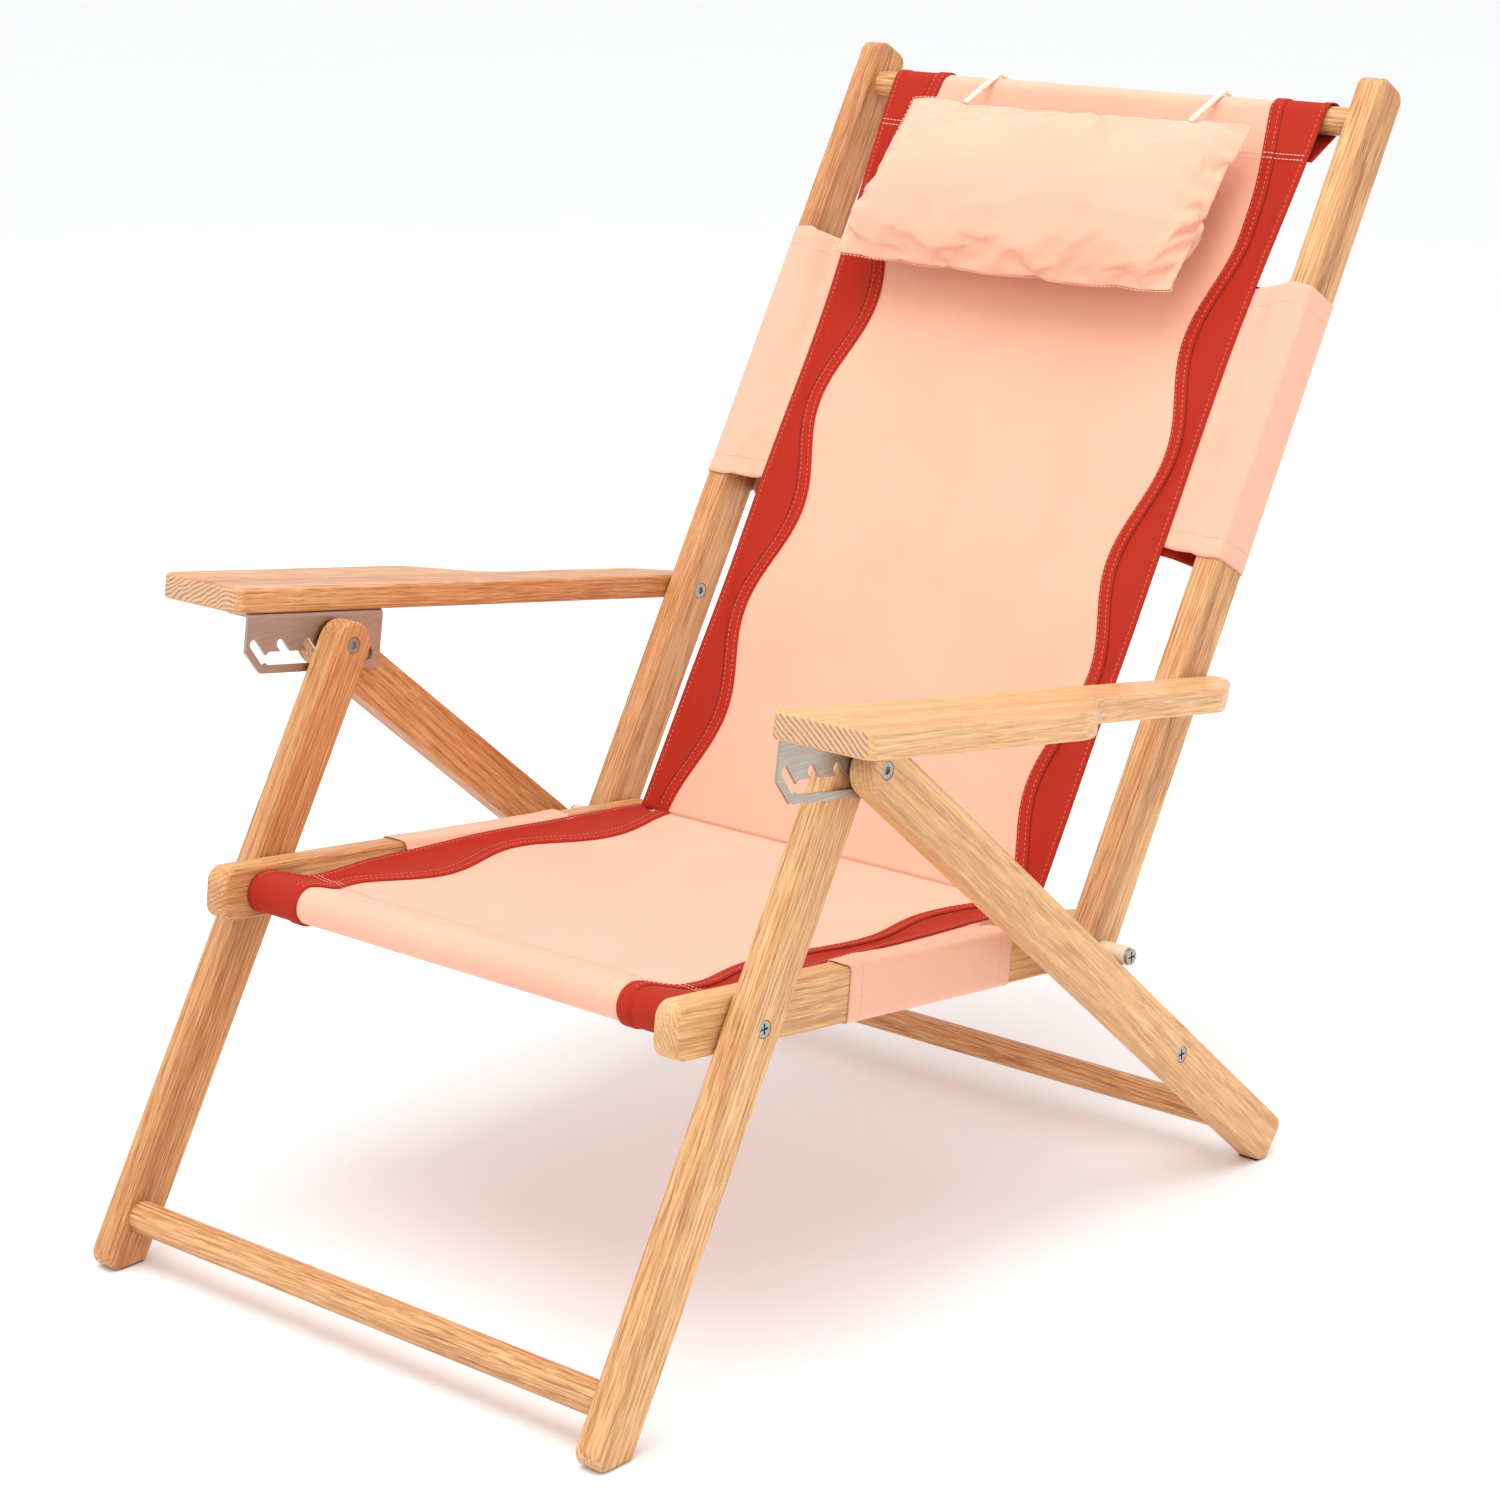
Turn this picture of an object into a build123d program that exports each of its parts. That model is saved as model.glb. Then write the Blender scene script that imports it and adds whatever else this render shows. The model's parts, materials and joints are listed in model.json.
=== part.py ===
from build123d import *
import os
from math import asin, atan2, cos, degrees, pi, radians, sin

# Folding beach chair: a wooden frame of flat bars and dowels, a canvas sling, slotted arm brackets and a
# head pillow hung over the top dowel. Millimetres, +Z up. The chair faces -Y and is symmetric about X = 0.
# The origin is on the floor, under the middle of the chair. "Left" is the sitter's left, +X.


def yz(y, z):
    return Vector(0, y, z)


def leaning(angle):
    """Unit vector that leans back by this many degrees from straight up."""
    return yz(sin(radians(angle)), cos(radians(angle)))


# ---- Driving dimensions ----
STOCK = 21.0  # thickness of every flat bar
EDGE = 3.0  # rounding along the bars' edges
RAIL_WIDTH, UPRIGHT_WIDTH = 39.0, 37.0
FRONT_LEG_WIDTH, REAR_LEG_WIDTH = 36.0, 38.0

FRONT_FOOT = yz(-440.5, 0.0)  # where the front leg's centreline meets the floor
FRONT_LEAN = 30.15
FOOT_TO_SEAT_PIVOT, FOOT_TO_LATCH = 299.3, 483.9
REAR_FOOT = yz(300.3, 0.0)
BACK_PIVOT = yz(85.4, 216.3)
BACK_LEAN = 30.5
BACK_TO_ARM_PIVOT, BACK_TO_TOP_DOWEL = 203.2, 659.3
ARM_SLOPE = 8.7  # the arms rise towards the front

RAIL_INNER = 207.5  # X of the seat rails' inner faces
GAP = 1.5  # washer between rail and leg
LEG_INNER = RAIL_INNER + STOCK + GAP
ARM_INNER = LEG_INNER + STOCK + GAP
REAR_LEG_INNER = ARM_INNER + 3.5
RAIL_LAYER = (RAIL_INNER, RAIL_INNER + STOCK)
LEG_LAYER = (LEG_INNER, LEG_INNER + STOCK)
REAR_LAYER = (REAR_LEG_INNER, REAR_LEG_INNER + STOCK)

RAIL_AHEAD, RAIL_BEHIND = 61.0, 30.0  # rail beyond the seat pivot and the back pivot
UPRIGHT_BELOW, UPRIGHT_LENGTH = 22.5, 692.0
FRONT_FOOT_END, REAR_LEG_LENGTH = 2.0, 635.0
SOLE = 2.0  # thickness of the foot pads

DOWEL = {"front_seat": 12.5, "rear_seat": 11.0, "top": 11.0, "front_foot": 12.0, "rear_foot": 11.0}
FRONT_DOWEL = yz(-315.2, 261.5)
FRONT_STRETCHER = yz(-421.8, 35.2)
REAR_STRETCHER = yz(259.0, 34.8)
FRONT_PAD, REAR_PAD = (-430.3, 20.0), (275.2, 12.0)  # middle along Y, length
TENON, TENON_LENGTH = 8.0, 12.0

BOLT, RUNNING = 3.0, 3.05  # shank radius, and the bore that turns on it
PEG, PEG_LAYER = 7.0, (LEG_LAYER[1] + 0.5, 275.0)
PIVOT_BOLT_END = 186.0  # X of the back pivot bolts' tips, inside the rear dowel

ARM_TOP, ARM_BOTTOM = 10.0, -9.0  # heights from the arm pivot, square to the arm
ARM_REAR, ARM_FRONT = -26.0, 483.5
ARM_WIDE, ARM_NARROW = 337.4, 296.0  # X of the arm's outer edge, front and rear

PLATE, INNER_BEND = 2.6, 0.8  # bracket sheet, and the radius inside its bend
PLATE_X = ARM_INNER + 0.1
PLATE_REAR, PLATE_FRONT, PLATE_BOTTOM = 336.5, 471.3, -53.5
FLANGE_OUTER = 276.0
CHANNEL_REAR, CHANNEL_FRONT, CHANNEL_MIDDLE, CHANNEL_HALF = 344.0, 452.0, -42.5, 5.0
NOTCH_PITCH, NOTCH_RADIUS, NOTCHES_BEHIND, NOTCHES_AHEAD = 26.2, 3.5, 1, 3

CREASE = yz(79.7, 237.4)  # fold of the sling between seat and back
PANEL = 3.0  # thickness of the plain sling solids
SLING_HALF_WIDTH = 202.0
FOLD_STRIP = 130.0  # lowest part of the back panel, slack when the chair is folded
SKIN = 1.0  # canvas sleeves around the bars
SKIN_PLAY = 0.15
UPRIGHT_SLEEVE, RAIL_SLEEVE = (294.0, 526.0), (116.0, 293.0)

PILLOW_SIZE = (332.0, 146.0, 56.0)  # across, along the back, thick
PILLOW_CORNER, PILLOW_EDGE, ROLL_EDGE = 22.0, 20.0, 6.0
PILLOW_TOP = 620.0  # its upper edge, along the back panel from the crease
CORD, CORD_X = 2.5, 109.0  # cord radius, and its place across the pillow
WEIGHT_RADIUS, WEIGHT_HALF_LENGTH, WEIGHT_DROP = 15.0, 128.0, 130.0

# ---- Places that follow from them ----
UP_FRONT = leaning(FRONT_LEAN)
UP_BACK = leaning(BACK_LEAN)
SEAT_PIVOT = FRONT_FOOT + UP_FRONT * FOOT_TO_SEAT_PIVOT
LATCH = FRONT_FOOT + UP_FRONT * FOOT_TO_LATCH
DOWN_REAR = (REAR_FOOT - LATCH).normalized()
ALONG_RAIL = (BACK_PIVOT - SEAT_PIVOT).normalized()
ARM_PIVOT = BACK_PIVOT + UP_BACK * BACK_TO_ARM_PIVOT
TOP_DOWEL = BACK_PIVOT + UP_BACK * BACK_TO_TOP_DOWEL
ARM_FORWARD = yz(-cos(radians(ARM_SLOPE)), sin(radians(ARM_SLOPE)))
ARM_UP = leaning(ARM_SLOPE)
REAR_SCREW = LATCH + DOWN_REAR * 462.6


# ---- Helpers ----
def side_plane(origin, along, x=0.0):
    """Plane at this X whose own x runs along a direction of the side view."""
    return Plane(origin=(x, origin.Y, origin.Z), x_dir=along, z_dir=(1, 0, 0))


def rod(radius, x_from, x_to, at):
    """Cylinder along X between two X values."""
    start = min(x_from, x_to)
    return extrude(Plane(origin=(start, at.Y, at.Z), z_dir=(1, 0, 0)) * Circle(radius), amount=abs(x_to - x_from))


def bar(origin, along, width, ends, layer, radii):
    """Flat bar on the line through origin, from ends[0] to ends[1] along it, with the corner radius of each end.
    A radius of None is a full round. Its long edges are rounded."""
    start, end = ends
    square_end = end - width / 2 if radii[1] is None else end
    outline = Pos((start + square_end) / 2, 0) * Rectangle(square_end - start, width)
    outline = fillet(outline.vertices().sort_by(Axis.X)[:2], radii[0])
    if radii[1] is None:
        outline += Pos(square_end, 0) * Circle(width / 2)
    else:
        outline = fillet(outline.vertices().sort_by(Axis.X)[-2:], radii[1])
    solid = extrude(side_plane(origin, along, layer[0]) * outline, amount=layer[1] - layer[0])
    faces = solid.faces().sort_by(Axis.X)
    return fillet(faces[0].edges() + faces[-1].edges(), EDGE)


def cut_sole(leg):
    """Trim a leg flat, one pad's thickness above the floor."""
    room = 200.0
    return leg - Pos(0, 0, SOLE - room / 2) * Box(4 * room, 8 * room, room)


def foot_pad(y_middle, length, layer):
    inset = 2.5
    size = (STOCK - 2 * inset, length, SOLE)
    return Pos((layer[0] + layer[1]) / 2, y_middle, SOLE / 2) * Box(*size)


def screw(at, head_x, tip_x, head_radius, head_height, drive):
    """Screw along X from its head's outer face to its tip, with a cross or hex recess in the head."""
    way = 1 if tip_x > head_x else -1
    solid = rod(head_radius, head_x, head_x + way * head_height, at) + rod(BOLT, head_x, tip_x, at)
    depth = 0.6 * head_height
    if drive == "hex":
        face = Plane(origin=(head_x, at.Y, at.Z), z_dir=(way, 0, 0)) * RegularPolygon(0.5 * head_radius, 6)
        return solid - extrude(face, amount=depth)
    slot_length, slot_width = 1.3 * head_radius, 0.26 * head_radius
    for size in ((2 * depth, slot_length, slot_width), (2 * depth, slot_width, slot_length)):
        solid -= Pos(head_x, at.Y, at.Z) * Box(*size)
    return solid


def washer(radius, x_from, x_to, at):
    return rod(radius, x_from, x_to, at) - rod(RUNNING, x_from - 1, x_to + 1, at)


def mirrored(solid):
    return mirror(solid, about=Plane.YZ)


def both(*solids):
    """One node that holds these solids and their mirror images."""
    return Compound(children=[s for solid in solids for s in (solid, mirrored(solid))])


def dowel(radius, half_length, at):
    """Round cross bar whose thinner tenons go into the bars at its ends."""
    shank = rod(radius, -half_length, half_length, at)
    return shank + rod(TENON, -half_length - TENON_LENGTH, half_length + TENON_LENGTH, at)


def mortise(layer, at):
    return rod(TENON, layer[0] - 1, layer[0] + TENON_LENGTH, at)


# ---- Seat frame ----
def seat_rail():
    length = (BACK_PIVOT - SEAT_PIVOT).length
    rail = bar(SEAT_PIVOT, ALONG_RAIL, RAIL_WIDTH, (-RAIL_AHEAD, length + RAIL_BEHIND), RAIL_LAYER, (12, 14))
    for at in (FRONT_DOWEL, BACK_PIVOT):
        rail -= mortise(RAIL_LAYER, at)
    for at in (SEAT_PIVOT, BACK_PIVOT):
        rail -= rod(RUNNING, RAIL_LAYER[0] - 1, RAIL_LAYER[1] + 1, at)
    return rail


def rear_seat_dowel():
    solid = dowel(DOWEL["rear_seat"], RAIL_INNER, BACK_PIVOT)
    for side in (-1, 1):
        solid -= rod(RUNNING, side * (PIVOT_BOLT_END - 1), side * (RAIL_INNER + TENON_LENGTH + 1), BACK_PIVOT)
    return solid


# ---- Legs ----
HEAD, HEAD_HEIGHT, POCKET = 6.0, 3.0, 3.4  # bolt heads in their counterbores


def front_leg():
    ends = (-FRONT_FOOT_END, FOOT_TO_LATCH + FRONT_LEG_WIDTH / 2)
    leg = cut_sole(bar(FRONT_FOOT, UP_FRONT, FRONT_LEG_WIDTH, ends, LEG_LAYER, (12, None)))
    for at in (SEAT_PIVOT, LATCH):
        leg -= rod(BOLT, LEG_LAYER[0] - 1, LEG_LAYER[1] + 1, at)
    leg -= rod(HEAD + 0.5, LEG_LAYER[1] - POCKET, LEG_LAYER[1] + 1, SEAT_PIVOT)
    leg -= rod(HEAD + 0.5, LEG_LAYER[0] - 1, LEG_LAYER[0] + POCKET, LATCH)
    return leg - mortise(LEG_LAYER, FRONT_STRETCHER)


TOP_SHIFT = 4.0  # the rear leg's rounded top sits this far down the leg from the latch pin


def rear_leg():
    top = TOP_SHIFT - REAR_LEG_WIDTH / 2
    up_leg = DOWN_REAR * -1
    ends = (-REAR_LEG_LENGTH, -top)
    leg = cut_sole(bar(LATCH, up_leg, REAR_LEG_WIDTH, ends, REAR_LAYER, (9, None)))
    leg -= rod(BOLT, REAR_LAYER[0] - 1, REAR_LAYER[1] + 1, LATCH)
    for at in (LATCH, REAR_SCREW):
        leg -= rod(HEAD + 0.5, REAR_LAYER[1] - POCKET, REAR_LAYER[1] + 1, at)
    leg -= rod(BOLT, REAR_LAYER[0] + 2, REAR_LAYER[1], REAR_SCREW)
    return leg - mortise(REAR_LAYER, REAR_STRETCHER)


# ---- Back ----
def upright():
    ends = (-UPRIGHT_BELOW, UPRIGHT_LENGTH)
    solid = bar(BACK_PIVOT, UP_BACK, UPRIGHT_WIDTH, ends, LEG_LAYER, (16, 10))
    for at in (BACK_PIVOT, ARM_PIVOT):
        solid -= rod(RUNNING, LEG_LAYER[0] - 1, LEG_LAYER[1] + 1, at)
    solid -= rod(HEAD + 0.5, LEG_LAYER[0] - 1, LEG_LAYER[0] + POCKET, ARM_PIVOT)
    return solid - mortise(LEG_LAYER, TOP_DOWEL)


def peg():
    return rod(PEG, *PEG_LAYER, BACK_PIVOT) - rod(BOLT, PEG_LAYER[0] - 1, PEG_LAYER[1] + 1, BACK_PIVOT)


# ---- Arms ----
BRACKET_SCREWS = (352.0, 418.0, 459.0)  # distances along the arm
SCREW_X, SCREW_HEAD, SCREW_SHANK, SCREW_LENGTH = 266.0, 4.0, 1.9, 14.0
NUT, NUT_X, NUT_REAR, NUT_FRONT = 5.0, 269.0, -9.0, 6.0  # barrel nut, let in from the arm's rear end


def arm_plane(height):
    """Plane square to the arm's thickness: its x is X, its y runs forward along the arm and its z points down."""
    return Plane(origin=ARM_PIVOT + ARM_UP * height, x_dir=(1, 0, 0), z_dir=ARM_UP * -1)


def arm():
    corner, bend_start, bend_end = 9.0, 165.0, 258.0
    rear_corner = (ARM_NARROW, 30.0)
    edge = [
        Line((ARM_INNER, ARM_REAR), (258, ARM_REAR)),
        Spline((258, ARM_REAR), (281, -5), rear_corner, tangents=[(1, 0), (0, 1)]),
        Line(rear_corner, (ARM_NARROW, bend_start)),
        Spline((ARM_NARROW, bend_start), (ARM_WIDE, bend_end), tangents=[(0, 1), (0, 1)]),
        Line((ARM_WIDE, bend_end), (ARM_WIDE, ARM_FRONT)),
        Line((ARM_WIDE, ARM_FRONT), (ARM_INNER, ARM_FRONT)),
        Line((ARM_INNER, ARM_FRONT), (ARM_INNER, ARM_REAR)),
    ]
    outline = fillet(make_face(edge).vertices().sort_by(Axis.Y)[-2:], corner)
    solid = extrude(arm_plane(ARM_TOP) * outline, amount=ARM_TOP - ARM_BOTTOM)
    top, bottom = solid.faces().sort_by(Axis.Z)[-1], solid.faces().sort_by(Axis.Z)[0]
    solid = fillet(top.edges() + bottom.edges(), EDGE)
    solid -= rod(RUNNING, ARM_INNER - 1, NUT_X + NUT + 4, ARM_PIVOT)
    for along in BRACKET_SCREWS:
        solid -= countersunk(along)
    return solid - barrel(NUT, ARM_REAR - 10, NUT_FRONT)


def barrel(radius, start, end):
    """Cylinder that runs along the arm, through the arm bolt's axis."""
    plane = Plane(origin=ARM_PIVOT + ARM_FORWARD * start + Vector(NUT_X, 0, 0), z_dir=ARM_FORWARD)
    return extrude(plane * Circle(radius), amount=end - start)


def barrel_nut():
    return barrel(NUT, NUT_REAR, NUT_FRONT) - rod(RUNNING, ARM_INNER, NUT_X + 2 * NUT, ARM_PIVOT)


def in_arm(point):
    """A point of the side view as (forward, up) from the arm pivot, along and square to the arm."""
    reach = point - ARM_PIVOT
    return reach.dot(ARM_FORWARD), reach.dot(ARM_UP)


def bracket():
    """Bent sheet under the arm: a flange screwed to the arm and a plate with a latch channel and notches."""
    flange = ARM_BOTTOM - PLATE
    angle = Polyline(
        (PLATE_X, PLATE_BOTTOM), (PLATE_X, ARM_BOTTOM), (FLANGE_OUTER, ARM_BOTTOM), (FLANGE_OUTER, flange),
        (PLATE_X + PLATE, flange), (PLATE_X + PLATE, PLATE_BOTTOM), close=True,
    )
    section = make_face(angle)
    bend = section.vertices().filter_by(lambda v: v.Y > flange - 1 and v.X < PLATE_X + PLATE + 1)
    section = fillet(bend.sort_by(Axis.X)[:1], PLATE + INNER_BEND)
    section = fillet(section.vertices().filter_by(lambda v: abs(v.X - PLATE_X - PLATE) < 0.1 and v.Y > flange - 1), INNER_BEND)
    origin = ARM_PIVOT + ARM_FORWARD * PLATE_REAR
    solid = extrude(
        Plane(origin=origin, x_dir=(1, 0, 0), z_dir=ARM_FORWARD) * section, amount=PLATE_FRONT - PLATE_REAR
    )
    side = Plane(origin=ARM_PIVOT + Vector(PLATE_X - 1, 0, 0), x_dir=ARM_FORWARD, z_dir=(-1, 0, 0))
    chamfered = make_face(Polyline(
        (PLATE_REAR, 0), (PLATE_REAR, PLATE_BOTTOM), (PLATE_FRONT - 15.3, PLATE_BOTTOM),
        (PLATE_FRONT, PLATE_BOTTOM + 15.5), (PLATE_FRONT, 0), close=True,
    ))
    chamfered = fillet(chamfered.vertices().sort_by(Axis.Y)[:2], 4)
    solid &= extrude(side * chamfered, amount=-2 * STOCK)
    pin_along, pin_up = in_arm(LATCH)
    middle = (CHANNEL_REAR + CHANNEL_FRONT) / 2
    cuts = Pos(middle, CHANNEL_MIDDLE) * SlotOverall(CHANNEL_FRONT - CHANNEL_REAR, 2 * CHANNEL_HALF)
    slot_run = Vector(-11, -12)
    for k in range(-NOTCHES_BEHIND, NOTCHES_AHEAD + 1):
        top = Vector(pin_along + k * NOTCH_PITCH, pin_up)
        low = top + slot_run
        slot = SlotCenterToCenter(slot_run.length, 2 * NOTCH_RADIUS, rotation=degrees(atan2(12, 11)))
        cuts += Pos((top + low) / 2) * slot
    solid -= extrude(side * cuts, amount=-(PLATE + 2))
    for along in BRACKET_SCREWS:
        solid -= countersunk(along, play=0.1)
    return solid


def countersunk(along, play=0.0):
    """Flat-headed screw, driven up through the bracket's flange into the arm."""
    origin = ARM_PIVOT + ARM_FORWARD * along + ARM_UP * (ARM_BOTTOM - PLATE) + Vector(SCREW_X, 0, 0)
    plane = Plane(origin=origin, z_dir=ARM_UP)
    cone_height = SCREW_HEAD - SCREW_SHANK
    half = Polyline(
        (0, 0), (SCREW_HEAD + play, 0), (SCREW_SHANK + play, cone_height),
        (SCREW_SHANK + play, SCREW_LENGTH), (0, SCREW_LENGTH), close=True,
    )
    turned = revolve(Plane.XZ * make_face(half), Axis.Z)
    return plane * turned


# ---- Canvas ----
def panel_direction():
    """Unit vector up the taut back panel, from the crease to the front of the top dowel's pocket."""
    reach = TOP_DOWEL - CREASE
    turn = asin((DOWEL["top"] + 1.0) / reach.length)
    heading = atan2(reach.Z, reach.Y) + turn
    return yz(cos(heading), sin(heading))


UP_PANEL = panel_direction()
PANEL_FRONT = yz(-UP_PANEL.Z, UP_PANEL.Y)  # square to the back panel, towards the sitter
PANEL_LENGTH = (TOP_DOWEL - CREASE).dot(UP_PANEL)


def slab(start, end, thickness, half_width):
    """Flat panel across the chair between two points of the side view, which are on its middle."""
    outline = Pos((end - start).length / 2, 0) * Rectangle((end - start).length, thickness)
    return extrude(side_plane(start, (end - start).normalized(), -half_width) * outline, amount=2 * half_width)


def pocket(dowel_radius, at):
    """Tube of canvas round a dowel."""
    inner = dowel_radius + 0.3
    tube = rod(inner + 1.5, -SLING_HALF_WIDTH, SLING_HALF_WIDTH, at)
    return tube - rod(inner, -SLING_HALF_WIDTH - 1, SLING_HALF_WIDTH + 1, at)


def bored(solid, dowel_radius, at):
    """The solid with room for the dowel through it."""
    return solid - rod(dowel_radius + 0.3, -SLING_HALF_WIDTH - 1, SLING_HALF_WIDTH + 1, at)


def seat_sling():
    front_top = FRONT_DOWEL + yz(0, DOWEL["front_seat"])
    seat = slab(CREASE, front_top, PANEL, SLING_HALF_WIDTH) + pocket(DOWEL["front_seat"], FRONT_DOWEL)
    neck = slab(CREASE + yz(0, -1), BACK_PIVOT + yz(-2, DOWEL["rear_seat"]), PANEL, SLING_HALF_WIDTH)
    seat += neck + pocket(DOWEL["rear_seat"], BACK_PIVOT)
    return bored(bored(seat, DOWEL["front_seat"], FRONT_DOWEL), DOWEL["rear_seat"], BACK_PIVOT)


def back_sling():
    top = CREASE + UP_PANEL * PANEL_LENGTH
    panel = slab(CREASE + UP_PANEL * (FOLD_STRIP + 0.5), top, PANEL, SLING_HALF_WIDTH)
    return bored(panel + pocket(DOWEL["top"], TOP_DOWEL), DOWEL["top"], TOP_DOWEL)


def back_fold_strip():
    return slab(CREASE + UP_PANEL * 4, CREASE + UP_PANEL * FOLD_STRIP, PANEL, SLING_HALF_WIDTH)


def sleeve(origin, along, width, layer, span):
    """Canvas sleeve round a bar, between two distances along it."""
    start, end = span
    across = (layer[0] + layer[1]) / 2
    plane = Plane(origin=Vector(across, 0, 0) + origin + along * start, x_dir=(1, 0, 0), z_dir=along)
    outer = RectangleRounded(STOCK + 2 * (SKIN + SKIN_PLAY), width + 2 * (SKIN + SKIN_PLAY), EDGE + SKIN)
    inner = RectangleRounded(STOCK + 2 * SKIN_PLAY, width + 2 * SKIN_PLAY, EDGE)
    return extrude(plane * (outer - inner), amount=end - start)


# ---- Pillow, its cords and counterweight ----
def pillow():
    across, along, thick = PILLOW_SIZE
    middle = CREASE + UP_PANEL * (PILLOW_TOP - along / 2) + PANEL_FRONT * (PANEL / 2 + 1 + thick / 2)
    plane = Plane(origin=middle, x_dir=(1, 0, 0), z_dir=PANEL_FRONT)
    block = extrude(plane * RectangleRounded(across, along, PILLOW_CORNER), amount=thick / 2, both=True)
    ends = block.faces().sort_by(lambda f: abs((f.center() - middle).dot(PANEL_FRONT)))[-2:]
    return fillet(ends[0].edges() + ends[1].edges(), PILLOW_EDGE)


LOOP = DOWEL["top"] + 1.8 + 0.3 + CORD  # radius of the cord's line over the top dowel's pocket
WEIGHT_AT = yz(TOP_DOWEL.Y + LOOP, TOP_DOWEL.Z - WEIGHT_DROP)


def pillow_cord():
    """Cord from the pillow's upper edge, over the top dowel and straight down to the counterweight."""
    tie = CREASE + UP_PANEL * (PILLOW_TOP + 2) + PANEL_FRONT * 28
    reach = TOP_DOWEL - tie
    turn = asin(LOOP / reach.length)
    heading = atan2(reach.Z, reach.Y) + turn
    touch = TOP_DOWEL + yz(-sin(heading), cos(heading)) * LOOP
    crest = TOP_DOWEL + leaning(45 - degrees(heading) / 2) * LOOP
    bottom = WEIGHT_AT + yz(0, WEIGHT_RADIUS + 0.3)
    behind = yz(TOP_DOWEL.Y + LOOP, TOP_DOWEL.Z)
    path = Line(tie, touch) + ThreePointArc(touch, crest, behind) + Line(behind, bottom)
    section = Plane(origin=tie, z_dir=(touch - tie).normalized()) * Circle(CORD)
    solid = Pos(CORD_X, 0, 0) * sweep(section, path=path)
    length = (touch - tie).length + LOOP * (pi / 2 + heading) + (behind - bottom).length
    print(f"pillow cord: length {length:.1f}, volume over section times length "
          f"{solid.volume / (pi * CORD**2 * length):.4f}, loop radius {LOOP:.1f}")
    return solid


def counterweight():
    roll = rod(WEIGHT_RADIUS, -WEIGHT_HALF_LENGTH, WEIGHT_HALF_LENGTH, WEIGHT_AT)
    return fillet(roll.edges().filter_by(GeomType.CIRCLE), ROLL_EDGE)


# ---- The nodes ----
def build():
    nodes = {
        "seat_rail": seat_rail(), "front_leg": front_leg(), "rear_leg": rear_leg(), "back_upright": upright(),
        "arm": arm(), "arm_bracket": bracket(), "pillow_cord": pillow_cord(),
        "seat_sleeve": sleeve(SEAT_PIVOT, ALONG_RAIL, RAIL_WIDTH, RAIL_LAYER, RAIL_SLEEVE),
        "back_sleeve": sleeve(BACK_PIVOT, UP_BACK, UPRIGHT_WIDTH, LEG_LAYER, UPRIGHT_SLEEVE),
    }
    nodes = {f"{name}_{side}": solid if side == "left" else mirrored(solid)
             for name, solid in nodes.items() for side in ("left", "right")}
    outer, inner = LEG_LAYER[1], LEG_LAYER[0]
    nodes |= {
        "front_seat_dowel": dowel(DOWEL["front_seat"], RAIL_INNER, FRONT_DOWEL),
        "rear_seat_dowel": rear_seat_dowel(),
        "top_dowel": dowel(DOWEL["top"], LEG_INNER, TOP_DOWEL),
        "front_stretcher": dowel(DOWEL["front_foot"], LEG_INNER, FRONT_STRETCHER),
        "rear_stretcher": dowel(DOWEL["rear_foot"], REAR_LEG_INNER, REAR_STRETCHER),
        "pivot_washers": both(*(washer(9, RAIL_LAYER[1], inner, at) for at in (SEAT_PIVOT, BACK_PIVOT))),
        "seat_pivot_bolts": both(
            screw(SEAT_PIVOT, outer - POCKET + HEAD_HEIGHT, RAIL_INNER + 1, HEAD, HEAD_HEIGHT, "cross")),
        "latch_pins_inner": both(
            screw(LATCH, inner + POCKET - HEAD_HEIGHT, PLATE_X - 0.4, HEAD, HEAD_HEIGHT, "hex")),
        "latch_pins_outer": both(
            screw(LATCH, REAR_LAYER[1] - POCKET + HEAD_HEIGHT, PLATE_X + PLATE + 0.4, HEAD, HEAD_HEIGHT, "hex")),
        "latch_washers": both(rod(8, outer, outer + 0.8, LATCH) - rod(BOLT, outer - 1, outer + 2, LATCH)),
        "rear_leg_screws": both(
            screw(REAR_SCREW, REAR_LAYER[1] - POCKET + HEAD_HEIGHT, REAR_LAYER[0] + 3, HEAD, HEAD_HEIGHT, "cross")),
        "back_pivot_bolts": both(screw(BACK_PIVOT, PEG_LAYER[1] + 3, PIVOT_BOLT_END, 6, 3, "cross")),
        "back_pegs": both(peg()),
        "arm_pivot_bolts": both(
            screw(ARM_PIVOT, inner + POCKET - HEAD_HEIGHT, NUT_X + NUT + 3, HEAD, HEAD_HEIGHT, "hex")),
        "arm_washers": both(rod(9, outer, ARM_INNER, ARM_PIVOT) - rod(BOLT, outer - 1, ARM_INNER + 1, ARM_PIVOT)),
        "barrel_nuts": both(barrel_nut()),
        "bracket_screws": both(*(countersunk(along) for along in BRACKET_SCREWS)),
        "front_foot_pads": both(foot_pad(*FRONT_PAD, LEG_LAYER)),
        "rear_foot_pads": both(foot_pad(*REAR_PAD, REAR_LAYER)),
        "seat_sling": seat_sling(), "back_sling": back_sling(), "back_fold_strip": back_fold_strip(),
        "pillow": pillow(), "counterweight": counterweight(),
    }
    return nodes


os.makedirs("parts", exist_ok=True)
for name, shape in build().items():
    export_step(shape, f"parts/{name}.step")
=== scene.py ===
import json
import math

import bmesh
import bpy
import numpy as np
from mathutils import Matrix, Vector, noise


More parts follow.
